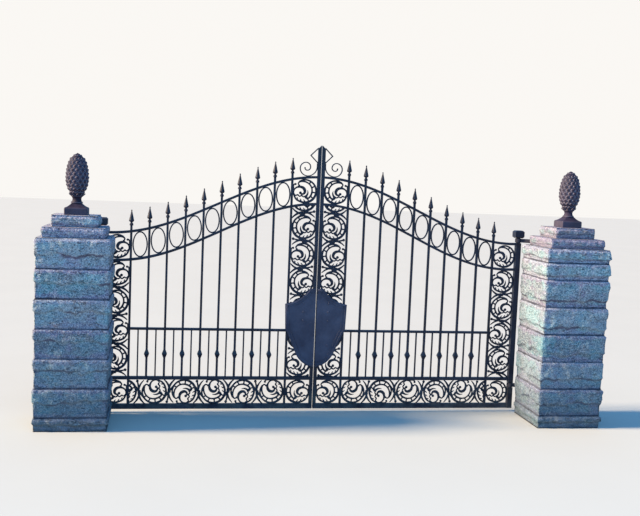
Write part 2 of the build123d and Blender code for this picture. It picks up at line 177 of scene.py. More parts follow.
class Maker:
    """Makes the nodes of one tree. A list of values is for a socket that takes many links."""

    def __init__(self, tree):
        self.tree = tree

    def node(self, kind, settings=None, sockets=None, out=0):
        made = self.tree.nodes.new(kind)
        for key, value in (settings or {}).items():
            setattr(made, key, value)
        for key, values in (sockets or {}).items():
            for value in values if isinstance(values, list) else [values]:
                if isinstance(value, Field):
                    self.tree.links.new(value.socket, made.inputs[key])
                else:
                    made.inputs[key].default_value = value
        return Field(self, made.outputs[out]) if len(made.outputs) else None

    def parts(self, vector):
        """The x, the y and the z of a vector."""
        split = self.node("ShaderNodeSeparateXYZ", None, {0: vector})
        return [Field(self, socket) for socket in split.socket.node.outputs]

    def vector(self, x, y, z):
        return self.node("ShaderNodeCombineXYZ", None, {0: x, 1: y, 2: z})

    def stretch(self, vector, amounts):
        return self.node("ShaderNodeVectorMath", {"operation": "MULTIPLY"}, {0: vector, 1: amounts})

    def grain(self, vector, scale, detail=4.0, rough=0.55, seed=0.0):
        """Noise from 0 to 1 that gathers about 0.5."""
        return self.node(
            "ShaderNodeTexNoise",
            {"noise_dimensions": "4D"},
            {"Vector": vector, "W": seed, "Scale": scale, "Detail": detail, "Roughness": rough},
        )

    def blend(self, mask, colour, other):
        """One colour where the mask is 0 and the other where it is 1."""
        first, second = [
            (*each, 1) if isinstance(each, tuple) else each for each in (colour, other)
        ]
        return self.node("ShaderNodeMix", {"data_type": "RGBA"}, {0: mask, 6: first, 7: second}, 2)


class Finish(Maker):
    """A material, with its pattern on the object's own coordinates."""

    def __init__(self, name):
        self.material = bpy.data.materials.new(name)
        self.material.use_nodes = True
        super().__init__(self.material.node_tree)
        self.tree.nodes.clear()
        self.place = self.node("ShaderNodeTexCoord", out="Object")
        self.height = self.parts(self.place)[2]

    def coat(self, colour, roughness, lumps, depth, gloss=0.5):
        bump = self.node(
            "ShaderNodeBump", None, {"Strength": 1.0, "Distance": depth, "Height": lumps}, "Normal"
        )
        surface = self.node(
            "ShaderNodeBsdfPrincipled",
            None,
            {
                "Base Color": colour,
                "Roughness": roughness,
                "Specular IOR Level": gloss,
                "Normal": bump,
            },
        )
        self.node("ShaderNodeOutputMaterial", None, {"Surface": surface})
        return self.material


def painted_iron(name, deep, worn, rust_share, lump_scale, lump_depth, roughness):
    """Dark paint over iron: blotched, dusty near the ground, with rust where it is thin."""
    speck_blue = (0.07, 0.09, 0.14)
    rust_brown = (0.085, 0.036, 0.018)
    dust_grey = (0.20, 0.19, 0.17)
    finish = Finish(name)
    blotch = finish.grain(finish.place, 5.0, 5.0, 0.6, 1.0).smooth(0.35, 0.68)
    speck = finish.grain(finish.place, 90.0, 3.0, 0.6, 2.0)
    flake = finish.grain(finish.place, 32.0, 5.0, 0.7, 3.0)
    area = finish.grain(finish.place, 3.2, 2.0, 0.5, 4.0)
    rust = flake.smooth(0.60, 0.70) * area.smooth(0.62 - rust_share, 0.8 - rust_share)
    low = 1 - finish.height.smooth(0.02, 0.42)
    dust = low * finish.grain(finish.place, 12.0).smooth(0.3, 0.7)
    colour = finish.blend(blotch, deep, worn)
    colour = finish.blend(speck.smooth(0.6, 0.75) * 0.2, colour, speck_blue)
    colour = finish.blend(rust, colour, rust_brown)
    colour = finish.blend(dust * 0.22, colour, dust_grey)
    shine = roughness + 0.14 * (blotch - 0.5) + 0.3 * rust + 0.2 * dust
    lumps = finish.grain(finish.place, lump_scale, 4.0, 0.6, 5.0) + 0.4 * flake * rust
    return finish.coat(colour, shine, lumps, lump_depth, 0.2)


# What rock_faced writes on each point of a stone and the stone's finish reads
stone_marks = ("joint", "edge", "tone", "crease")


def pier_stone(name, tint, stain):
    """Grey granite: clouded teal and violet, speckled, cracked along its bed,
    dark in its joints and damp at its foot, with painted shade along its ledges and towards its
    foot."""
    teal = (0.088, 0.285, 0.345)
    violet = (0.172, 0.126, 0.240)
    quartz = (0.54, 0.60, 0.64)
    mica = (0.036, 0.048, 0.085)
    lichen_grey = (0.42, 0.42, 0.38)
    damp_green = (0.060, 0.075, 0.075)
    crack_dark = (0.035, 0.035, 0.055)
    ledge_shade_violet = (0.055, 0.042, 0.085)
    foot_shade_blue = (0.035, 0.080, 0.130)
    joint_dark = (0.022, 0.024, 0.040)
    finish = Finish(name)
    place = finish.place
    joint, edge, tone, crease = [
        finish.node("ShaderNodeAttribute", {"attribute_name": label}, out="Fac")
        for label in stone_marks
    ]
    cloud = finish.grain(place, 3.0, 5.0, 0.6, 1.0)
    patch = finish.grain(place, 7.0, 4.0, 0.6, 8.0)
    mottle = finish.grain(place, 24.0, 6.0, 0.7, 2.0)
    speckle = finish.grain(place, 85.0, 4.0, 0.75, 3.0)
    fine = finish.grain(place, 150.0, 3.0, 0.7, 5.0)
    bed = finish.grain(finish.stretch(place, (1.0, 1.0, 3.4)), 6.5, 4.0, 0.62, 7.0)
    crack = (1 - abs(bed - 0.5).smooth(0.003, 0.014)) * mottle.smooth(0.48, 0.54)
    streak = finish.grain(finish.stretch(place, (1.0, 1.0, 5.0)), 9.0, 5.0, 0.6, 4.0)
    pale = (0.33 * tint[0], 0.40 * tint[1], 0.47 * tint[2])
    mid = (0.170 * tint[0], 0.215 * tint[1], 0.265 * tint[2])
    dark = (0.085 * tint[0], 0.110 * tint[1], 0.150 * tint[2])
    colour = finish.blend(mottle.smooth(0.36, 0.64), dark, mid)
    colour = finish.blend(cloud.smooth(0.42, 0.64) * 0.7, colour, teal)
    colour = finish.blend((patch + 0.30 * edge).smooth(0.52, 0.68) * 0.66, colour, violet)
    colour = finish.blend(tone.smooth(0.0, 1.0) * 0.25, colour, pale)
    colour = finish.blend(speckle.smooth(0.52, 0.61) * 0.75, colour, pale)
    colour = finish.blend(fine.smooth(0.54, 0.62) * 0.7, colour, quartz)
    colour = finish.blend((1 - speckle.smooth(0.39, 0.48)) * 0.85, colour, mica)
    lichen = finish.grain(place, 24.0, 5.0, 0.7, 6.0).smooth(0.63, 0.70) * cloud.smooth(0.5, 0.62)
    colour = finish.blend(lichen * 0.4, colour, lichen_grey)
    damp = (1 - finish.height.smooth(0.0, 0.34)) * streak.smooth(0.25, 0.62)
    colour = finish.blend(damp * stain, colour, damp_green)
    colour = finish.blend(crack * 0.6, colour, crack_dark)
    # Painted shade: a violet band along each ledge, where the step would shade the stone under it,
    # broken up by streaks.
    shade = (crease + 0.6 * (streak - 0.5)).smooth(0.35, 0.85)
    colour = finish.blend(shade * 0.75, colour, ledge_shade_violet)
    # Painted shade: the stone grows darker and bluer towards its foot.
    low = 1 - finish.height.smooth(0.1, 1.5)
    colour = finish.blend(low * 0.45, colour, foot_shade_blue)
    seam = (joint + 0.6 * (mottle - 0.5)).smooth(0.2, 0.7)
    colour = finish.blend(seam * (0.6 + 0.33 * cloud.smooth(0.4, 0.6)), colour, joint_dark)
    shine = 0.88 - 0.12 * fine.smooth(0.6, 0.75) + 0.06 * joint
    lumps = mottle * 0.9 + speckle * 0.45 + streak * 0.8 - crack * 0.5
    return finish.coat(colour, shine, lumps, 0.016, 0.3)


def finial_coat(name, ridge_highlight):
    """Dull violet-black castings, with a painted highlight along their ridges."""
    black = (0.010, 0.008, 0.020)
    faded = (0.028, 0.022, 0.044)
    run_grey = (0.066, 0.052, 0.080)
    ridge_highlight_grey = (0.24, 0.23, 0.30)
    finish = Finish(name)
    cloud = finish.grain(finish.place, 9.0, 5.0, 0.6, 1.0)
    grit = finish.grain(finish.place, 120.0, 4.0, 0.65, 2.0)
    runs = finish.grain(finish.stretch(finish.place, (1.0, 1.0, 0.25)), 30.0, 4.0, 0.6, 3.0)
    edge = finish.node("ShaderNodeNewGeometry", out="Pointiness").smooth(0.535, 0.62)
    colour = finish.blend(cloud.smooth(0.35, 0.7), black, faded)
    colour = finish.blend(runs.smooth(0.60, 0.75) * 0.3, colour, run_grey)
    # Painted highlight: the ridges, found by their pointiness, are made paler.
    colour = finish.blend(edge * ridge_highlight, colour, ridge_highlight_grey)
    shine = 0.62 + 0.2 * (cloud - 0.5)
    return finish.coat(colour, shine, grit + 0.5 * runs, 0.0022, 0.12)


iron = painted_iron(
    "gate iron", (0.005, 0.006, 0.015), (0.013, 0.017, 0.034),
    rust_share=0.0, lump_scale=120.0, lump_depth=0.0012, roughness=0.46,
)
cast_iron = painted_iron(
    "cast scrollwork", (0.005, 0.007, 0.017), (0.013, 0.017, 0.034),
    rust_share=0.03, lump_scale=70.0, lump_depth=0.0022, roughness=0.48,
)
plaque_iron = painted_iron(
    "plaque", (0.021, 0.025, 0.050), (0.046, 0.052, 0.088),
    rust_share=0.02, lump_scale=55.0, lump_depth=0.0012, roughness=0.52,
)
hinge_iron = painted_iron(
    "hinges", (0.010, 0.011, 0.024), (0.032, 0.028, 0.036),
    rust_share=0.12, lump_scale=90.0, lump_depth=0.002, roughness=0.55,
)
shaft_stone = pier_stone("pier stone", tint=(1.0, 1.0, 1.0), stain=0.75)
# The right pier's caps take a darker tint of the same stone than the left's: painted shade.
cap_stone = {
    "left": pier_stone("left cap stone", tint=(1.28, 1.12, 1.08), stain=0.0),
    "right": pier_stone("right cap stone", tint=(0.80, 0.66, 0.68), stain=0.0),
}
# The fruit's ridges get a strong painted highlight and the plinth's a faint one.
finial_iron = finial_coat("finial iron", ridge_highlight=0.45)
plinth_iron = finial_coat("plinth iron", ridge_highlight=0.12)


class Shape(Maker):
    """A Geometry Nodes tree with named inputs. Each is given by its first value, or
    as bpy.types.Object where the input is an object."""

    kinds = {float: "NodeSocketFloat", int: "NodeSocketInt"}

    def __init__(self, name, **sizes):
        tree = bpy.data.node_groups.new(name, "GeometryNodeTree")
        tree.interface.new_socket("Geometry", in_out="INPUT", socket_type="NodeSocketGeometry")
        for size, value in sizes.items():
            if value is bpy.types.Object:
                tree.interface.new_socket(size, in_out="INPUT", socket_type="NodeSocketObject")
            else:
                kind = self.kinds[type(value)]
                made = tree.interface.new_socket(size, in_out="INPUT", socket_type=kind)
                made.default_value = value
        tree.interface.new_socket("Finish", in_out="INPUT", socket_type="NodeSocketMaterial")
        tree.interface.new_socket("Geometry", in_out="OUTPUT", socket_type="NodeSocketGeometry")
        super().__init__(tree)
        self.start = self.node("NodeGroupInput", out="Geometry")
        self.size = {size: self.node("NodeGroupInput", out=size) for size in sizes}
        self.finish = self.node("NodeGroupInput", out="Finish")

    def close(self, geometry):
        """Ends the tree: real faces, smooth shading and the finish."""
        real = self.node("GeometryNodeRealizeInstances", None, {"Geometry": geometry})
        smooth = self.node("GeometryNodeSetShadeSmooth", None, {"Geometry": real})
        finished = self.node(
            "GeometryNodeSetMaterial", None, {"Geometry": smooth, "Material": self.finish}
        )
        self.node("NodeGroupOutput", None, {0: finished})

    def mesh(self, finish, start=None, **sizes):
        """Runs the tree and returns its result as a plain mesh."""
        holder = bpy.data.objects.new("holder", start or bpy.data.meshes.new("start"))
        bpy.context.scene.collection.objects.link(holder)
        modifier = holder.modifiers.new("shape", "NODES")
        modifier.node_group = self.tree
        for socket in self.tree.interface.items_tree:
            if socket.in_out == "INPUT" and socket.name in sizes:
                modifier[socket.identifier] = sizes[socket.name]
            if socket.in_out == "INPUT" and socket.name == "Finish":
                modifier[socket.identifier] = finish
        graph = bpy.context.evaluated_depsgraph_get()
        result = bpy.data.meshes.new_from_object(holder.evaluated_get(graph))
        holder.modifiers.remove(modifier)
        bpy.data.objects.remove(holder)
        return result


def piece(name, mesh, finish, slot, body, *stands_for):
    """Puts a finished mesh in the scene as a piece of the gate."""
    made = bpy.data.objects.new(name, mesh)
    bpy.context.scene.collection.objects.link(made)
    made.data.materials.clear()
    made.data.materials.append(finish)
    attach(made, body)
    if stands_for:
        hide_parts(*stands_for)


def join(meshes):
    """One mesh from (mesh, matrix) pairs; a matrix that mirrors turns its faces back."""
    both = bmesh.new()
    for mesh, matrix in meshes:
        part = bmesh.new()
        part.from_mesh(mesh)
        part.transform(matrix)
        if matrix.determinant() < 0:
            bmesh.ops.reverse_faces(part, faces=part.faces[:])
        plain = bpy.data.meshes.new("part")
        part.to_mesh(plain)
        part.free()
        both.from_mesh(plain)
    joined = bpy.data.meshes.new("joined")
    both.to_mesh(joined)
    both.free()
    joined.polygons.foreach_set("use_smooth", [True] * len(joined.polygons))
    return joined


# Stone

point_on_face = 0.001      # a point this near a face belongs to it
most_swell = 0.007         # a face stands at most this far outside the solid's
lower_hinge_z = 0.262
plate_x = {"left": 0.195, "right": -0.257}    # the hinge's plate, from the pier's middle
plate_clear = (0.045, 0.12)                   # smooth up to the first distance from it
stone_seed = {"left": 1.0, "right": 21.0}


def rock_faced(name, joints, plates=()):
    """A pier or slab with quarried faces: each course swells between its joints,
    breaks along a ledge and is lumpy all over. It stays flat under the plates on
    its rear face, given as (x, z)."""
    shape = Shape(
        name, Width=0.6, Depth=0.6, Bottom=0.0, Top=1.0, Spacing=0.009,
        Relief=0.05, Ledge=0.018, Fall=0.013, Reach=0.018, Seed=1.0,
    )
    size = shape.size
    width, depth, bottom, top = size["Width"], size["Depth"], size["Bottom"], size["Top"]
    spacing = size["Spacing"]
    block = shape.node(
        "GeometryNodeMeshCube",
        None,
        {
            "Size": shape.vector(width, depth, top - bottom),
            "Vertices X": width / spacing,
            "Vertices Y": depth / spacing,
            "Vertices Z": (top - bottom) / spacing,
        },
    )
    block = shape.node(
        "GeometryNodeTransform",
        None,
        {"Geometry": block, "Translation": shape.vector(0.0, 0.0, (top + bottom) / 2)},
    )
    place = shape.node("GeometryNodeInputPosition")
    x, y, z = shape.parts(place)
    to_side = width / 2 - abs(x)
    to_front = depth / 2 - abs(y)
    out = shape.vector(
        x.sign() * (to_side < point_on_face), y.sign() * (to_front < point_on_face), 0.0
    )

    # The number, the floor and the ceiling of the course that a point is in
    to_joint = z - bottom
    to_edge = to_joint.least(top - z)
    course = size["Seed"]
    floor_z = bottom
    ceiling_z = joints[0] if joints else top
    for i, joint_z in enumerate(joints):
        passed = z > joint_z
        to_edge = to_edge.least(abs(z - joint_z))
        to_joint = to_joint.least(abs(z - joint_z))
        course = course + passed
        under = joints[i - 1] if i else bottom
        above = joints[i + 1] if i + 1 < len(joints) else top
        floor_z = floor_z + (joint_z - under) * passed
        ceiling_z = ceiling_z + (above - joint_z) * passed
    share = (z - floor_z) / (ceiling_z - floor_z)

    # Each course has its own lumps and its own ledge, from its number
    lumps = shape.grain(place, 6.5, 5.0, 0.52, course * 3.7) - 0.5
    small = shape.grain(place, 26.0, 3.0, 0.6, course * 1.9) - 0.5
    wave = shape.grain(shape.stretch(place, (1.0, 1.0, 0.15)), 6.0, 3.0, 0.6, course * 5.3)
    long_wave = shape.grain(shape.stretch(place, (1.0, 1.0, 0.1)), 2.6, 2.0, 0.5, course * 8.1)
    ledge = 0.10 + 0.62 * wave + 0.18 * (course * 12.9898).sine()
    step = share.smooth(ledge - 0.05, ledge + 0.06)
    fall = 1 - to_edge.smooth(0.0015, size["Reach"])
    corner = 1 - to_side.most(to_front).smooth(0.0, 0.022)
    rough = size["Relief"] * (lumps + 0.35 * small) + size["Ledge"] * (step - 0.75)
    for x_plate, z_plate in plates:
        away = shape.node(
            "ShaderNodeVectorMath",
            {"operation": "DISTANCE"},
            {0: place, 1: shape.vector(x_plate, depth / 2, z_plate)},
            "Value",
        )
        rough = rough * away.smooth(*plate_clear)
    worn = corner * (0.005 + 0.7 * size["Relief"] * small)
    swell = (rough * (1 - 0.6 * fall) - size["Fall"] * fall - worn).least(most_swell)
    offset = shape.node(
        "ShaderNodeVectorMath", {"operation": "SCALE"}, {"Vector": out, "Scale": swell}
    )
    stone = shape.node("GeometryNodeSetPosition", None, {"Geometry": block, "Offset": offset})
    marks = {
        "joint": 1 - to_joint.smooth(0.002, 0.010),
        "edge": 1 - to_edge.smooth(0.0, 0.06),
        "tone": (course * 78.2).sine() * 0.5 + 0.5,
        # A band about each ledge line, which the stone's finish darkens as painted shade.
        "crease": (1 - abs(share - ledge).smooth(0.01, 0.07)) * long_wave.smooth(0.44, 0.56),
    }
    for label in stone_marks:
        stone = shape.node(
            "GeometryNodeStoreNamedAttribute",
            {"data_type": "FLOAT", "domain": "POINT"},
            {"Geometry": stone, "Name": label, "Value": marks[label]},
        )
    shape.close(stone)
    return shape


def stone_piece(name, shape, at, finish, stands_for, **sizes):
    mesh = shape.mesh(finish, **sizes)
    mesh.transform(Matrix.Translation(at))
    piece(name, mesh, finish, "pier_stone", "piers", stands_for)


slab = rock_faced("cap slab", [])
for side in sides:
    x = pier_x[side]
    top = pier_top[side]
    seed = stone_seed[side]
    shaft = rock_faced(side + " pier courses", pier_joints[side], [(plate_x[side], lower_hinge_z)])
    stone_piece(
        side + "_stone_courses", shaft, (x, pier_y, 0), shaft_stone, side + "_pier_shaft",
        Width=pier_width, Depth=pier_depth, Bottom=0.0, Top=top, Seed=seed,
    )
    stone_piece(
        side + "_lower_slab", slab, (x, pier_y, top), cap_stone[side], side + "_pier_lower_cap",
        Width=lower_cap[0], Depth=lower_cap[1], Bottom=0.0, Top=lower_cap[2], Spacing=0.007,
        Relief=0.034, Ledge=0.006, Fall=0.009, Reach=0.020, Seed=seed + 7.0,
    )
    stone_piece(
        side + "_upper_slab", slab, (x, pier_y, top + lower_cap[2]), cap_stone[side],
        side + "_pier_upper_cap",
        Width=upper_cap[0], Depth=upper_cap[1], Bottom=0.0, Top=upper_cap[2], Spacing=0.007,
        Relief=0.034, Ledge=0.005, Fall=0.012, Reach=0.026, Seed=seed + 9.0,
    )


# Lines of cast iron

line_section = (
    (-1.0, 0.0), (-0.72, 0.86), (-0.36, 1.0), (0.0, 0.66), (0.36, 1.0), (0.72, 0.86),
    (1.0, 0.0), (0.72, -0.86), (0.36, -1.0), (0.0, -0.66), (-0.36, -1.0), (-0.72, -0.86),
)
curve_steps = 6
finest_line = 0.002


def ribbon(bm, line, widths, thick):
    """A closed casting along a flat line: two raised edges, a groove between
    them and the same on the back."""
    widest = max(widths)
    rings = []
    for i, at in enumerate(line):
        ahead = line[min(i + 1, len(line) - 1)]
        behind = line[max(i - 1, 0)]
        along = Vector((ahead[0] - behind[0], ahead[1] - behind[1])).normalized()
        across = Vector((-along.y, along.x))
        half = widths[i] / 2
        deep = thick / 2 * (0.45 + 0.55 * widths[i] / widest)
        rings.append([
            bm.verts.new((at[0] + across.x * s * half, at[1] + across.y * s * half, t * deep))
            for s, t in line_section
        ])
    for low, high in zip(rings, rings[1:]):
        for k in range(len(line_section)):
            j = (k + 1) % len(line_section)
            bm.faces.new((low[k], low[j], high[j], high[k]))
    bm.faces.new(rings[0][::-1])
    bm.faces.new(rings[-1])


def polar(radius, angle):
    return (radius * math.cos(math.radians(angle)), radius * math.sin(math.radians(angle)))


def arc(x, radius, start, sweep, steps):
    """Points on an arc about (x, 0), with its angles in degrees."""
    points = []
    for i in range(steps + 1):
        at = polar(radius, start + sweep * i / steps)
        points.append((x + at[0], at[1]))
    return points


def straight(start, end, steps):
    return [
        (start[0] + (end[0] - start[0]) * i / steps, start[1] + (end[1] - start[1]) * i / steps)
        for i in range(steps + 1)
    ]


def curve_value(t, before, start, end, after):
    """Where a smooth curve from start to end is at t, given the points around them."""
    bend = 2 * before - 5 * start + 4 * end - after
    twist = 3 * start - before - 3 * end + after
    return 0.5 * (2 * start + (end - before) * t + bend * t * t + twist * t ** 3)


def curve_through(points):
    """A smooth line through points, with the last value of each point as its width."""
    line = []
    widths = []
    ends = [points[0]] + list(points) + [points[-1]]
    for four in zip(ends, ends[1:], ends[2:], ends[3:]):
        for i in range(curve_steps):
            x, y, width = [curve_value(i / curve_steps, *values) for values in zip(*four)]
            line.append((x, y))
            widths.append(max(width, finest_line))
    line.append(points[-1][:2])
    widths.append(points[-1][2])
    return line, widths


def tapered(line, start, middle, end):
    """Widths from the start's to the end's, drawn towards the middle one on the way."""
    last = len(line) - 1
    widths = []
    for i in range(last + 1):
        t = i / last
        widths.append(start * (1 - t) ** 2 + 2 * middle * t * (1 - t) + end * t * t)
    return widths


def ball(bm, at, radius, thick):
    made = bmesh.ops.create_uvsphere(bm, u_segments=12, v_segments=7, radius=radius)
    squash = Matrix.Diagonal((1, 1, thick / (2 * radius), 1))
    bmesh.ops.transform(bm, matrix=Matrix.Translation((*at, 0)) @ squash, verts=made["verts"])


def finish_bmesh(bm):
    bmesh.ops.recalc_face_normals(bm, faces=bm.faces[:])
    mesh = bpy.data.meshes.new("casting")
    bm.to_mesh(mesh)
    bm.free()
    return mesh


# One scroll, open to +x: places in shares of its radius, and the width of the line in metres
rim_widths = [
    (58, 0.012), (80, 0.015), (104, 0.016), (130, 0.017), (156, 0.018), (184, 0.020),
    (212, 0.023), (240, 0.023), (268, 0.021), (292, 0.019),
]
inward_line = [
    (0.66, -0.71, 0.018), (0.84, -0.48, 0.016), (0.93, -0.22, 0.014), (0.92, 0.02, 0.014),
    (0.81, 0.20, 0.015), (0.62, 0.31, 0.018), (0.40, 0.34, 0.022), (0.18, 0.28, 0.027),
    (0.04, 0.13, 0.029), (0.00, -0.05, 0.026), (0.08, -0.20, 0.021), (0.24, -0.25, 0.016),
    (0.40, -0.19, 0.012),
]
crescent_line = [
    (0.50, 0.46, 0.012), (0.57, 0.62, 0.014), (0.43, 0.76, 0.016), (0.15, 0.79, 0.016),
    (-0.14, 0.72, 0.015), (-0.38, 0.56, 0.015), (-0.54, 0.32, 0.015), (-0.59, 0.03, 0.016),
    (-0.53, -0.27, 0.018), (-0.38, -0.51, 0.018), (-0.19, -0.61, 0.016), (-0.08, -0.53, 0.013),
]
comma_line = [
    (-0.22, 0.10, 0.004), (-0.25, -0.12, 0.013), (-0.18, -0.32, 0.019), (-0.04, -0.44, 0.016),
    (0.10, -0.46, 0.006),
]
hook_line = [(0.93, -0.10, 0.012), (0.96, 0.22, 0.013), (0.95, 0.46, 0.014), (0.83, 0.58, 0.013)]
leaf_edge = [
    (-0.22, -0.52, 0.014), (-0.06, -0.41, 0.016), (0.10, -0.47, 0.012), (0.27, -0.37, 0.015),
    (0.43, -0.44, 0.012), (0.59, -0.32, 0.015), (0.75, -0.38, 0.012), (0.91, -0.24, 0.014),
]
leaf_teeth = [
    [(-0.02, -0.93, 0.020), (0.02, -0.78, 0.011), (0.11, -0.69, 0.007)],
    [(0.31, -0.88, 0.020), (0.32, -0.73, 0.011), (0.40, -0.64, 0.007)],
    [(0.63, -0.70, 0.018), (0.60, -0.58, 0.010), (0.65, -0.51, 0.007)],
]
# Angles of the webs between crescent and rim, and how far out each starts
ties = [(86, 0.77), (120, 0.685), (152, 0.62), (187, 0.59), (220, 0.61), (248, 0.64)]
tie_widths = [0.026, 0.019, 0.0145, 0.013, 0.0145, 0.020, 0.028]
scroll_balls = [
    (0.37, -0.15, 0.0135), (0.49, 0.44, 0.0110), (-0.08, -0.52, 0.0100), (0.80, 0.55, 0.0110),
]

# Front to back of the finer lines
crescent_thick = 0.012
hook_thick = 0.011
tie_thick = 0.010

# The balls of a stem
tendril_ball = 0.0135      # radius
fork_ball = 0.0150         # radius
fork_ball_thick = 0.018    # front to back


def scroll_mesh(radius):
    """One scroll: a rim that turns in to a curl, a crescent tied to the rim by
    flared webs, a comma, a hook and a toothed leaf below."""
    bm = bmesh.new()
    rim = radius - cast_line / 2

    def scaled(points):
        return [(x * radius, y * radius, width) for x, y, width in points]

    outer = [(*polar(rim, angle), width) for angle, width in rim_widths]
    drawn = [
        (outer + scaled(inward_line), cast_thick),
        (scaled(crescent_line), crescent_thick),
        (scaled(comma_line), hook_thick),
        (scaled(hook_line), hook_thick),
        (scaled(leaf_edge), crescent_thick),
    ]
    for points, thick in drawn + [(scaled(tooth), tie_thick) for tooth in leaf_teeth]:
        line, widths = curve_through(points)
        ribbon(bm, line, widths, thick)
    for angle, share in ties:
        line = straight(polar(share * radius, angle), polar(rim, angle), len(tie_widths) - 1)
        ribbon(bm, line, tie_widths, tie_thick)
    for x, y, size in scroll_balls:
        ball(bm, (x * radius, y * radius), size, cast_thick)
    return finish_bmesh(bm)


def stem_mesh(radius, pitch):
    """The vine between a scroll open to +y and the next: a slanting stem, a fork
    of two arcs, one more arc and a ball tendril below."""
    bm = bmesh.new()
    rim = radius - cast_line / 2
    fork = 1.22 * radius
    lean = math.acos(min(2 * rim / pitch, 0.999))
    leave = (rim * math.cos(-lean), rim * math.sin(-lean))
    arrive = (pitch + rim * math.cos(math.pi - lean), rim * math.sin(math.pi - lean))
    foot = (pitch / 2 - 0.04 * radius, 0)
    end = (pitch / 2 - 0.16 * radius, -radius + 1.2 * cast_line)
    bow = 0.004
    tendril_steps = 8
    tendril = [
        (x + bow * math.sin(i / tendril_steps * math.pi), y)
        for i, (x, y) in enumerate(straight(foot, end, tendril_steps))
    ]
    for line, start_width, middle_width, end_width, thick in (
        (straight(leave, arrive, 12), 0.018, 0.022, 0.018, cast_thick),
        (arc(0, fork, -4, 56, 16), 0.020, 0.025, 0.010, cast_thick),
        (arc(pitch, fork, 176, -50, 16), 0.020, 0.025, 0.010, cast_thick),
        (arc(pitch, fork, 184, 44, 14), 0.018, 0.020, 0.008, cast_thick),
        (tendril, 0.022, 0.018, 0.013, crescent_thick),
    ):
        ribbon(bm, line, tapered(line, start_width, middle_width, end_width), thick)
    ball(bm, end, tendril_ball, cast_thick)
    ball(bm, (pitch / 2, 0), fork_ball, fork_ball_thick)
    return finish_bmesh(bm)


def vine_tree():
    """Scrolls with a stem after each, along +x, every other one turned over."""
    shape = Shape(
        "running vine", Scroll=bpy.types.Object, Stem=bpy.types.Object,
        Pitch=bottom_pitch, Count=5, First=0,
    )
    size = shape.size
    step = shape.vector(size["Pitch"], 0.0, 0.0)
    line = shape.node("GeometryNodeMeshLine", None, {"Count": size["Count"], "Offset": step})
    order = shape.node("GeometryNodeInputIndex") + size["First"]
    half_turn = shape.vector(math.pi * order.modulo(2.0), 0.0, 0.0)
    flip = shape.node("FunctionNodeEulerToRotation", None, {0: half_turn})
    rows = []
    for part in ("Scroll", "Stem"):
        shown = shape.node("GeometryNodeObjectInfo", None, {"Object": size[part]}, "Geometry")
        rows.append(shape.node(
            "GeometryNodeInstanceOnPoints",
            None,
            {"Points": line, "Instance": shown, "Rotation": flip},
        ))
    shape.close(shape.node("GeometryNodeJoinGeometry", None, {0: rows}))
    return shape


running_vine = vine_tree()


def vine(across, pitch, count, first_up, growth):
    """A running vine along +x from the middle of its first scroll. It grows
    towards +x where growth is 1, and comes from there where it is -1."""
    radius = across / 2 + trim
    scroll = scroll_mesh(radius)
    scroll.transform(Matrix.Rotation(math.pi / 2, 4, "Z"))
    stem = stem_mesh(radius, pitch)
    if growth < 0:
        scroll.transform(Matrix.Diagonal((-1, 1, 1, 1)))
        scroll.flip_normals()
        stem.transform(Matrix.Translation((pitch, 0, 0)) @ Matrix.Rotation(math.pi, 4, "Z"))
    patterns = []
    for mesh in (scroll, stem):
        pattern = bpy.data.objects.new("pattern", mesh)
        bpy.context.scene.collection.objects.link(pattern)
        patterns.append(pattern)
    grown = running_vine.mesh(
        cast_iron, Scroll=patterns[0], Stem=patterns[1],
        Pitch=pitch, Count=count, First=0 if first_up else 1,
    )
    for pattern in patterns:
        bpy.data.objects.remove(pattern)
    return grown


# The castings of one leaf, each as (mesh, matrix) pairs on the +x side of the meeting line

as_drawn = Matrix.Identity(4)
cut_margin = 0.001         # a casting runs this far into the bar or rail that cuts it
arch_margin = 0.002        # and this far into an arched rail
climb_lift = 0.012         # the climbing vine starts this much above its solid's


def upright(along, across, u, z):
    """Stands a flat pattern up in the leaf: where its x and its y run, and from where."""
    deep = Vector((along[0], 0, along[1])).cross(Vector((across[0], 0, across[1])))
    return Matrix((
        (along[0], across[0], deep.x, u),
        (0, 0, deep.y, 0),
        (along[1], across[1], deep.z, z),
        (0, 0, 0, 1),
    ))


def cut_away(mesh, point, outwards):
    """Cuts off what lies past a plane and closes the cut."""
    bm = bmesh.new()
    bm.from_mesh(mesh)
    everything = bm.verts[:] + bm.edges[:] + bm.faces[:]
    cut = bmesh.ops.bisect_plane(
        bm, geom=everything, dist=same_point, plane_co=point, plane_no=outwards, clear_outer=True
    )
    rim = [edge for edge in cut["geom_cut"] if isinstance(edge, bmesh.types.BMEdge)]
    if rim:
        bmesh.ops.holes_fill(bm, edges=rim, sides=0)
    bm.to_mesh(mesh)
    bm.free()
    return mesh


def square(u0, u1, z, opens):
    """A single scroll in a square of a panel, open away from the gate's middle
    where opens is 1 and towards it where it is -1."""
    return scroll_mesh((u1 - u0) / 2 + trim), upright((opens, 0), (0, 1), (u0 + u1) / 2, z)


def square_pair(u0, u1, upper_opens):
    """The single scrolls of an upright panel, between the arches and at its foot."""
    middle = (u0 + u1) / 2
    return [
        square(u0, u1, (lower_arch(middle) + upper_arch(middle)) / 2, upper_opens),
        square(u0, u1, (bottom_rail_top + lower_rail_bottom) / 2, -1),
    ]


def bottom_panel():
    """The vine along the foot of the leaf."""
    u0 = bars_at[0] + bar_size / 2
    u1 = bars_at[-1] - bar_size / 2
    across = lower_rail_bottom - bottom_rail_top
    count = math.ceil((u1 - u0 - across / 2) / bottom_pitch) + 1
    run = vine(across, bottom_pitch, count, first_up=True, growth=-1)
    run.transform(upright((1, 0), (0, 1), u0 + across / 2, bottom_rail_top + across / 2))
    return [(cut_away(run, (u1 + cut_margin, 0, 0), (1, 0, 0)), as_drawn)]


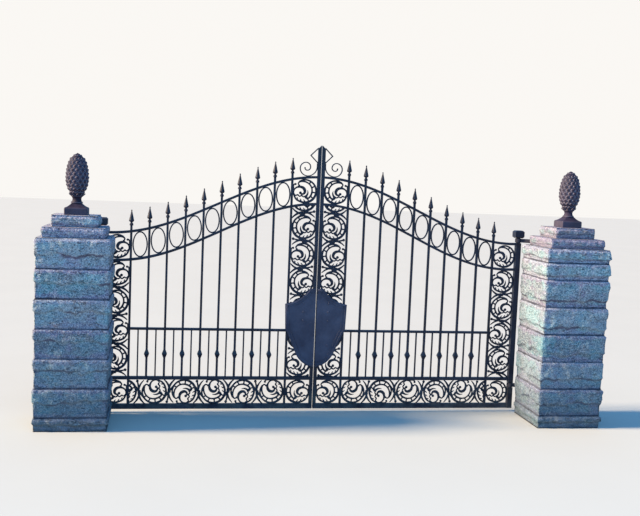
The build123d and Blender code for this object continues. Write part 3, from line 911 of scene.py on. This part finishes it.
def inner_panel():
    """The vine that climbs beside the meeting stile until the lower arch cuts it. It
    has one scroll more at each end than fits, for the cuts."""
    u0 = panel_start
    u1 = bars_at[0] - bar_size / 2
    across = u1 - u0
    middle = (u0 + u1) / 2
    ceiling = lower_arch(middle) - arch_rail_half
    count = int((ceiling - lower_rail_top - across) / tall_pitch) + 3
    climb = vine(across, tall_pitch, count, first_up=True, growth=-1)
    first_z = lower_rail_top + across / 2 + climb_lift - tall_pitch
    climb.transform(upright((0, 1), (-1, 0), middle, first_z))
    climb = cut_away(climb, (middle, 0, lower_rail_top - cut_margin), (0, 0, -1))
    slope = (lower_arch(middle + 0.01) - lower_arch(middle - 0.01)) / 0.02
    climb = cut_away(climb, (middle, 0, ceiling + arch_margin), (-slope, 0, 1))
    return [(climb, as_drawn)] + square_pair(u0, u1, 1)


def outer_panel():
    """The vine that hangs beside the heel stile from the lower arch."""
    u0 = bars_at[-1] + bar_size / 2
    u1 = panel_end
    across = u1 - u0
    middle = (u0 + u1) / 2
    ceiling = lower_arch(middle) - arch_rail_half
    count = int((ceiling - lower_rail_top - across) / tall_pitch) + 1
    hang = vine(across, tall_pitch, count, first_up=False, growth=1)
    hang.transform(upright((0, -1), (1, 0), middle, ceiling - across / 2))
    hang = cut_away(hang, (middle, 0, lower_rail_top - cut_margin), (0, 0, -1))
    return [(hang, as_drawn)] + square_pair(u0, u1, -1)


def on_leaf(side):
    """From the drawing, on the +x side of the meeting line, to a leaf in the gateway."""
    mirror = 1 if side == "right" else -1
    return Matrix.Translation((gate_x, gate_y, 0)) @ Matrix.Diagonal((mirror, 1, 1, 1))


castings = {
    "bottom_scrolls": bottom_panel(),
    "inner_scrolls": inner_panel(),
    "outer_scrolls": outer_panel(),
}
for side in sides:
    for name, parts in castings.items():
        mesh = join([(part, on_leaf(side) @ matrix) for part, matrix in parts])
        piece(
            f"{side}_cast_{name}", mesh, cast_iron, "cast_scrollwork",
            side + "_leaf", f"{side}_{name}",
        )


# Plaque

plaque_top = 1.173
plaque_height = 0.738
plaque_half_width = 0.292
plaque_start = 0.007       # the moulding's ends stay this far from the meeting line
plaque_face_y = -0.0255    # the plaque's face, from the gate's plane
rivet_u = 0.118
rivet_levels = (1.096, 1.036, 0.955, 0.875, 0.640)
rivet_radius = 0.011
rivet_thick = 0.010


def arc_through(first, second, third, steps):
    """Points on the circle through three points, from the first to the third."""
    ax, ay = second[0] - first[0], second[1] - first[1]
    bx, by = third[0] - first[0], third[1] - first[1]
    d = 2 * (ax * by - ay * bx)
    cx = (by * (ax * ax + ay * ay) - ay * (bx * bx + by * by)) / d
    cy = (ax * (bx * bx + by * by) - bx * (ax * ax + ay * ay)) / d
    centre = (first[0] + cx, first[1] + cy)
    radius = math.hypot(cx, cy)
    start = math.atan2(first[1] - centre[1], first[0] - centre[0])
    end = math.atan2(third[1] - centre[1], third[0] - centre[0])
    sweep = (end - start + math.pi) % (2 * math.pi) - math.pi
    points = []
    for i in range(steps + 1):
        a = start + sweep * i / steps
        points.append((centre[0] + radius * math.cos(a), centre[1] + radius * math.sin(a)))
    return points


def on_plaque(share_out, share_down):
    """A place on half of the plaque, in shares of its half width and its height."""
    return (share_out * plaque_half_width, plaque_top - share_down * plaque_height)


def plaque_line(inset):
    """The plaque's outline from its tip up its side to the top, drawn in by inset."""
    tip = (plaque_start, plaque_top - plaque_height)
    points = arc_through(tip, on_plaque(0.4, 0.94), on_plaque(0.6, 0.84), 10)
    for share_out, share_down in (
        (0.75, 0.7025), (0.9, 0.565), (0.968, 0.53), (0.985, 0.37), (1.0, 0.21),
    ):
        points.append(on_plaque(share_out, share_down))
    points += arc_through(on_plaque(0.98, 0.195), on_plaque(0.54, 0.13), on_plaque(0.22, 0.0), 16)
    points.append((plaque_start, plaque_top))
    inner = []
    for i, at in enumerate(points):
        ahead = points[min(i + 1, len(points) - 1)]
        behind = points[max(i - 1, 0)]
        along = Vector((ahead[0] - behind[0], ahead[1] - behind[1])).normalized()
        inner.append((at[0] - along.y * inset, at[1] + along.x * inset))
    end_u = plaque_start + 0.001
    inner[0] = (end_u, inner[0][1] + 0.5 * inset)
    inner[-1] = (end_u, inner[-1][1])
    return inner


def plaque_dressing():
    """Two lines of moulding inside the plaque's edge and a column of rivets."""
    bm = bmesh.new()
    for inset, width, thick in ((0.014, 0.015, 0.008), (0.040, 0.006, 0.005)):
        line = plaque_line(inset)
        ribbon(bm, line, [width] * len(line), thick)
    for z in rivet_levels:
        ball(bm, (rivet_u, z), rivet_radius, rivet_thick)
    return finish_bmesh(bm)


plaque = plaque_dressing()
plaque.transform(upright((1, 0), (0, 1), 0, 0))
plaque.transform(Matrix.Translation((0, plaque_face_y, 0)))
for side in sides:
    mesh = join([(plaque, on_leaf(side))])
    piece(side + "_plaque_moulding", mesh, plaque_iron, "plaque_iron", side + "_leaf")


# Small iron pieces


def row_tree():
    """Sets one shape out at the points it is given, each with its own turn and size."""
    shape = Shape("set out along points", Pattern=bpy.types.Object, Scale=1.0)
    size = shape.size
    shown = shape.node("GeometryNodeObjectInfo", None, {"Object": size["Pattern"]}, "Geometry")
    turn = shape.node(
        "GeometryNodeInputNamedAttribute", {"data_type": "FLOAT_VECTOR"}, {"Name": "turn"}
    )
    grow = shape.node("GeometryNodeInputNamedAttribute", {"data_type": "FLOAT"}, {"Name": "size"})
    shape.close(shape.node(
        "GeometryNodeInstanceOnPoints",
        None,
        {
            "Points": shape.start,
            "Instance": shown,
            "Rotation": shape.node("FunctionNodeEulerToRotation", None, {0: turn}),
            "Scale": size["Scale"] * grow,
        },
    ))
    return shape


row_along_points = row_tree()


def set_out_along(mesh, places, finish):
    """The mesh at each (place, turn, size), as one mesh."""
    points = bpy.data.meshes.new("points")
    points.from_pydata([place for place, _, _ in places], [], [])
    points.attributes.new("turn", "FLOAT_VECTOR", "POINT")
    points.attributes.new("size", "FLOAT", "POINT")
    for i, (_, turn, size) in enumerate(places):
        points.attributes["turn"].data[i].vector = turn
        points.attributes["size"].data[i].value = size
    pattern = bpy.data.objects.new("pattern", mesh)
    bpy.context.scene.collection.objects.link(pattern)
    result = row_along_points.mesh(finish, points, Pattern=pattern, Scale=1.0)
    bpy.data.objects.remove(pattern)
    return result


def turned_piece(outline, count):
    """A closed ring or knob about z from its (radius, height) outline."""
    bm = bmesh.new()
    rings = []
    for i in range(count):
        a = 2 * math.pi * i / count
        rings.append([bm.verts.new((r * math.cos(a), r * math.sin(a), z)) for r, z in outline])
    for i in range(count):
        here, there = rings[i], rings[(i + 1) % count]
        for k in range(len(outline)):
            j = (k + 1) % len(outline)
            if outline[k][0] < same_point and outline[j][0] < same_point:
                continue
            bm.faces.new((here[k], there[k], there[j], here[j]))
    bmesh.ops.remove_doubles(bm, verts=bm.verts[:], dist=same_point)
    return finish_bmesh(bm)


# A collar at the foot of each spear and a small one near its tip
collar_outline = [
    (0.009, -0.006), (0.0145, -0.006), (0.0175, -0.0025),
    (0.0175, 0.0025), (0.0145, 0.006), (0.009, 0.006),
]
collar_lift = 0.058        # above the middle of the top rail
tip_collar_share = 0.93    # of the spear's length
tip_collar_size = 0.38
collar = turned_piece(collar_outline, 16)
for side in sides:
    places = []
    for u in bars_at:
        for z, size in (
            (upper_arch(u) + collar_lift, 1.0),
            (upper_arch(u) + spear_base + spear_length * tip_collar_share, tip_collar_size),
        ):
            places.append((on_leaf(side) @ Vector((u, 0, z)), (0, 0, 0), size))
    mesh = set_out_along(collar, places, iron)
    piece(side + "_spear_collars", mesh, iron, "gate_iron", side + "_leaf")

# Two bolts through each hinge's plate, placed from the plate's middle
bolt_outline = [
    (0.0, 0.0), (0.015, 0.0), (0.015, 0.002), (0.010, 0.0022), (0.010, 0.0085), (0.0085, 0.0095),
    (0.0, 0.0098),
]
bolt_size = 0.85
plate_thickness = 0.008
plate_width = 0.070
bolts_at = {"left": (-0.025, 0.025), "right": (-0.002, 0.024)}
bolt_head = turned_piece(bolt_outline, 6)
for side in sides:
    places = []
    for level in ("upper", "lower"):
        low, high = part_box(f"{side}_{level}_hinge")
        middle = high.x - plate_width / 2
        for across in bolts_at[side]:
            at = (middle + across, low.y + plate_thickness, (low.z + high.z) / 2)
            places.append((at, (-math.pi / 2, 0, 0), bolt_size))
    mesh = set_out_along(bolt_head, places, hinge_iron)
    piece(side + "_hinge_bolts", mesh, hinge_iron, "hinge_iron", "piers")


# Pineapple finials

fruit_outline = [
    (0.0, 0.5), (0.09, 0.74), (0.2, 0.9), (0.31, 0.98), (0.42, 1.0), (0.53, 0.98),
    (0.64, 0.94), (0.75, 0.86), (0.85, 0.74), (0.93, 0.55), (1.0, 0.22),
]
fruit_radius = 0.094
fruit_height = 0.350
fruit_steps = 24
fruit_sides = 40
neck_height = 0.066
neck_outline = [
    (0.0, 0.0), (0.050, 0.0), (0.050, 0.008), (0.040, 0.014), (0.036, 0.033), (0.041, 0.050),
    (0.050, 0.055), (0.050, 0.064), (0.044, neck_height),
]
scale_rows = 11
scale_columns = 13
rows_from, rows_to = 0.06, 0.96    # shares of the fruit's height
least_scale = 0.42         # a scale shrinks with the fruit's radius, down to this share
scale_width = 0.050
scale_height = 0.046
scale_proud = 0.0115
scale_depth = 0.007        # the fruit's body lies this far under its outline
slope_step = 0.03          # share of its height over which its slope is taken
petal_width = 0.022
petal_lobes = 2
corner_cut = 0.006
plinth_outline = [         # height and half the width
    (0.0, 0.094), (0.003, 0.096), (0.052, 0.096), (0.058, 0.094), (0.062, 0.089), (0.066, 0.078),
    (0.074, 0.066), (0.086, 0.052), (0.095, 0.044), (plinth_height, 0.041),
]


def fruit_at(t):
    """Radius of the fruit at a share of its height."""
    for (t0, r0), (t1, r1) in zip(fruit_outline, fruit_outline[1:]):
        if t <= t1:
            return fruit_radius * (r0 + (r1 - r0) * (t - t0) / (t1 - t0))
    return fruit_radius * fruit_outline[-1][1]


def wall_between(bm, lower, upper):
    """Faces between two loops with as many points."""
    for k in range(len(lower)):
        j = (k + 1) % len(lower)
        bm.faces.new((lower[k], lower[j], upper[j], upper[k]))


def scale_mesh():
    """One scale: a lozenge that rises to a ridge and a blunt point."""
    bm = bmesh.new()
    w = scale_width / 2
    h = scale_height / 2
    edge = [
        (-w, 0.0), (-0.62 * w, -0.62 * h), (0.0, -h), (0.62 * w, -0.62 * h),
        (w, 0.0), (0.6 * w, 0.62 * h), (0.0, h), (-0.6 * w, 0.62 * h),
    ]
    low = [bm.verts.new((x, y, -0.006)) for x, y in edge]
    rim = [bm.verts.new((0.94 * x, 0.94 * y, 0.0015)) for x, y in edge]
    mid = [bm.verts.new((0.58 * x, 0.58 * y + 0.06 * h, 0.62 * scale_proud)) for x, y in edge]
    tip = [bm.verts.new((0.2 * x, 0.2 * y + 0.30 * h, scale_proud)) for x, y in edge]
    for lower, upper in ((low, rim), (rim, mid), (mid, tip)):
        wall_between(bm, lower, upper)
    bm.faces.new(tip)
    bm.faces.new(low[::-1])
    return finish_bmesh(bm)


def fruit_body():
    """The fruit and its neck, without scales, from z = 0."""
    outline = neck_outline[:]
    for i in range(1, fruit_steps + 1):
        t = i / fruit_steps
        outline.append((fruit_at(t) - scale_depth, neck_height + t * fruit_height))
    outline.append((0.0, neck_height + fruit_height))
    return turned_piece(outline, fruit_sides)


def fruit_scales(x, base_z):
    """Rows of scales that lean with the fruit's side, every other row half a scale on."""
    places = []
    for row in range(scale_rows):
        t = rows_from + (rows_to - rows_from) * row / (scale_rows - 1)
        r = fruit_at(t)
        r_up = fruit_at(min(1.0, t + slope_step))
        r_down = fruit_at(max(0.0, t - slope_step))
        lean = math.atan2(r_down - r_up, 2 * slope_step * fruit_height)
        reach = r - scale_depth
        z = base_z + neck_height + t * fruit_height
        for column in range(scale_columns):
            a = 2 * math.pi * (column + 0.5 * (row % 2)) / scale_columns
            out_x, out_y = math.cos(a), math.sin(a)
            normal = Vector((out_x * math.cos(lean), out_y * math.cos(lean), math.sin(lean)))
            up = Vector((-out_x * math.sin(lean), -out_y * math.sin(lean), math.cos(lean)))
            turn = Matrix((up.cross(normal), up, normal)).transposed().to_euler()
            at = Vector((x + reach * out_x, pier_y + reach * out_y, z))
            places.append((at, tuple(turn), max(least_scale, r / fruit_radius)))
    return set_out_along(scale_mesh(), places, finial_iron)


def petal_mesh(length):
    """A small leaf along +y with lobed edges and a raised middle."""
    bm = bmesh.new()
    steps = 5 * petal_lobes
    line = straight((0, 0), (0, length), steps)
    widths = []
    for i in range(steps + 1):
        t = i / steps
        body = math.sin(math.pi * min(1.0, 0.16 + 0.84 * t)) ** 0.7
        lobe = 1 - ((petal_lobes * t) % 1.0) ** 2
        widths.append(max(0.0014, petal_width * body * (0.66 + 0.34 * lobe)))
    ribbon(bm, line, widths, cast_thick)
    return finish_bmesh(bm)


def petal_ring(bm, at, count, first, reach, lean, length):
    """Petals in a ring about a place, each turned out by lean. The first one stands
    at that share of the way from one petal to the next."""
    facing_out = Matrix.Rotation(math.pi / 2, 4, "X") @ Matrix.Rotation(math.pi / 2, 4, "Y")
    for i in range(count):
        around = Matrix.Rotation(2 * math.pi * (i + first) / count, 4, "Z")
        turn = around @ Matrix.Translation((reach, 0, 0)) @ Matrix.Rotation(lean, 4, "Y")
        petal = petal_mesh(length)
        petal.transform(Matrix.Translation(at) @ turn @ facing_out)
        bm.from_mesh(petal)


def pineapple(x, base_z):
    """The finial's fruit with its scales, a ring of petals under it and a crown."""
    fruit_z = base_z + neck_height
    bm = bmesh.new()
    petal_ring(
        bm, (x, pier_y, fruit_z - 0.006), count=9, first=0.0, reach=0.041, lean=0.95, length=0.034
    )
    petal_ring(
        bm, (x, pier_y, fruit_z + fruit_height - 0.034),
        count=7, first=0.5, reach=0.012, lean=-0.25, length=0.040,
    )
    petals = finish_bmesh(bm)
    return join([
        (fruit_body(), Matrix.Translation((x, pier_y, base_z))),
        (fruit_scales(x, base_z), as_drawn),
        (petals, as_drawn),
    ])


def plinth(x, base_z):
    """The finial's square foot: a block with a soft edge, a slope and a small cove."""
    bm = bmesh.new()
    loops = []
    for z, half in plinth_outline:
        loop = []
        short = half - min(corner_cut, 0.12 * half)
        for sx, sy in ((1, 1), (-1, 1), (-1, -1), (1, -1)):
            corner = [(sx * half, sy * short), (sx * short, sy * half)]
            if sx != sy:
                corner.reverse()
            loop += [bm.verts.new((*at, z)) for at in corner]
        loops.append(loop)
    for lower, upper in zip(loops, loops[1:]):
        wall_between(bm, lower, upper)
    bm.faces.new(loops[0][::-1])
    bm.faces.new(loops[-1])
    mesh = finish_bmesh(bm)
    mesh.transform(Matrix.Translation((x, pier_y, base_z)))
    return mesh


for side in sides:
    x = pier_x[side]
    base_z = pier_top[side] + lower_cap[2] + upper_cap[2]
    foot = plinth(x, base_z)
    piece(side + "_finial_plinth", foot, plinth_iron, "finial_iron", "piers", side + "_finial_base")
    fruit = pineapple(x, base_z + plinth_height)
    piece(
        side + "_pineapple_fruit", fruit, finial_iron, "finial_iron", "piers", side + "_pineapple"
    )


# Better finishes on the solids that stay

finish_by_word = {
    "hinge": hinge_iron,
    "shield": plaque_iron,
    "scrolls": cast_iron,
    "cap": shaft_stone,
    "shaft": shaft_stone,
    "pineapple": finial_iron,
    "finial": finial_iron,
}
for name, part in nodes.items():
    coat = iron
    for word, finish in finish_by_word.items():
        if word in name:
            coat = finish
    for slot in part.material_slots:
        slot.material = coat


# Floor

floor_coat = Finish("pale floor")
cloud = floor_coat.grain(floor_coat.place, 0.8, 3.0, 0.5)
floor_colour = floor_coat.blend(cloud, (0.305, 0.32, 0.33), (0.33, 0.345, 0.355))
floor_finish = floor_coat.coat(floor_colour, 0.9 + 0.05 * cloud, cloud, 0.001)
bm = bmesh.new()
bmesh.ops.create_grid(bm, x_segments=2, y_segments=2, size=60.0)
floor_mesh = bpy.data.meshes.new("floor")
bm.to_mesh(floor_mesh)
bm.free()
floor = bpy.data.objects.new("floor", floor_mesh)
floor.data.materials.append(floor_finish)
bpy.context.scene.collection.objects.link(floor)


# Light

# The wall behind is a pale warm white, and what it sheds on the gate is a cool blue
wall_colour = (1.0, 0.975, 0.94)
shed_colour = (0.25, 0.60, 1.08)
world = bpy.data.worlds.new("studio")
world.use_nodes = True
studio = Maker(world.node_tree)
seen = studio.node("ShaderNodeLightPath", None, None, "Is Camera Ray")
wall = world.node_tree.nodes["Background"]
wall.inputs["Strength"].default_value = 0.96
world.node_tree.links.new(studio.blend(seen, shed_colour, wall_colour).socket, wall.inputs["Color"])
bpy.context.scene.world = world

# A broad blue fill from the front and a low warm sun from the left
fill_at = Vector((0.0, -9.0, 5.5))
fill_aim = Vector((0.0, 0.0, 1.0))
fill = bpy.data.lights.new("front fill", "AREA")
fill.shape = "SQUARE"
fill.size = 6.0
fill.energy = 450
fill.color = (0.22, 0.63, 1.0)
fill_light = bpy.data.objects.new("front fill", fill)
fill_light.location = fill_at
fill_light.rotation_euler = (fill_aim - fill_at).to_track_quat("-Z", "Y").to_euler()
bpy.context.scene.collection.objects.link(fill_light)

sun_way = Vector((1.0, 0.0, -0.56))
key = bpy.data.lights.new("key", "SUN")
key.energy = 14.5
key.angle = math.radians(9)
key.color = (1.0, 0.765, 0.50)
key_light = bpy.data.objects.new("key", key)
key_light.rotation_euler = sun_way.to_track_quat("-Z", "Y").to_euler()
bpy.context.scene.collection.objects.link(key_light)


# Camera, where the photograph was taken from

camera_at = (-1.4763, -7.9416, 2.188)
yaw = math.radians(9.82)
pitch = math.radians(-4.98)
roll = math.radians(2.33)
ahead = Vector((math.sin(yaw), math.cos(yaw), 0))
right = Vector((math.cos(yaw), -math.sin(yaw), 0))
up = Vector((0, 0, 1))
looking = ahead * math.cos(pitch) + up * math.sin(pitch)
level_up = up * math.cos(pitch) - ahead * math.sin(pitch)
camera_x = right * math.cos(roll) + level_up * math.sin(roll)
camera_y = level_up * math.cos(roll) - right * math.sin(roll)
lens = bpy.data.cameras.new("camera")
lens.lens = 50.625
lens.sensor_width = 36.0
lens.clip_end = 200.0
camera = bpy.data.objects.new("camera", lens)
turn = Matrix((camera_x, camera_y, -looking)).transposed().to_4x4()
camera.matrix_world = Matrix.Translation(camera_at) @ turn
bpy.context.scene.collection.objects.link(camera)
bpy.context.scene.camera = camera
bpy.context.scene.view_settings.view_transform = "Standard"

bpy.context.view_layer.update()
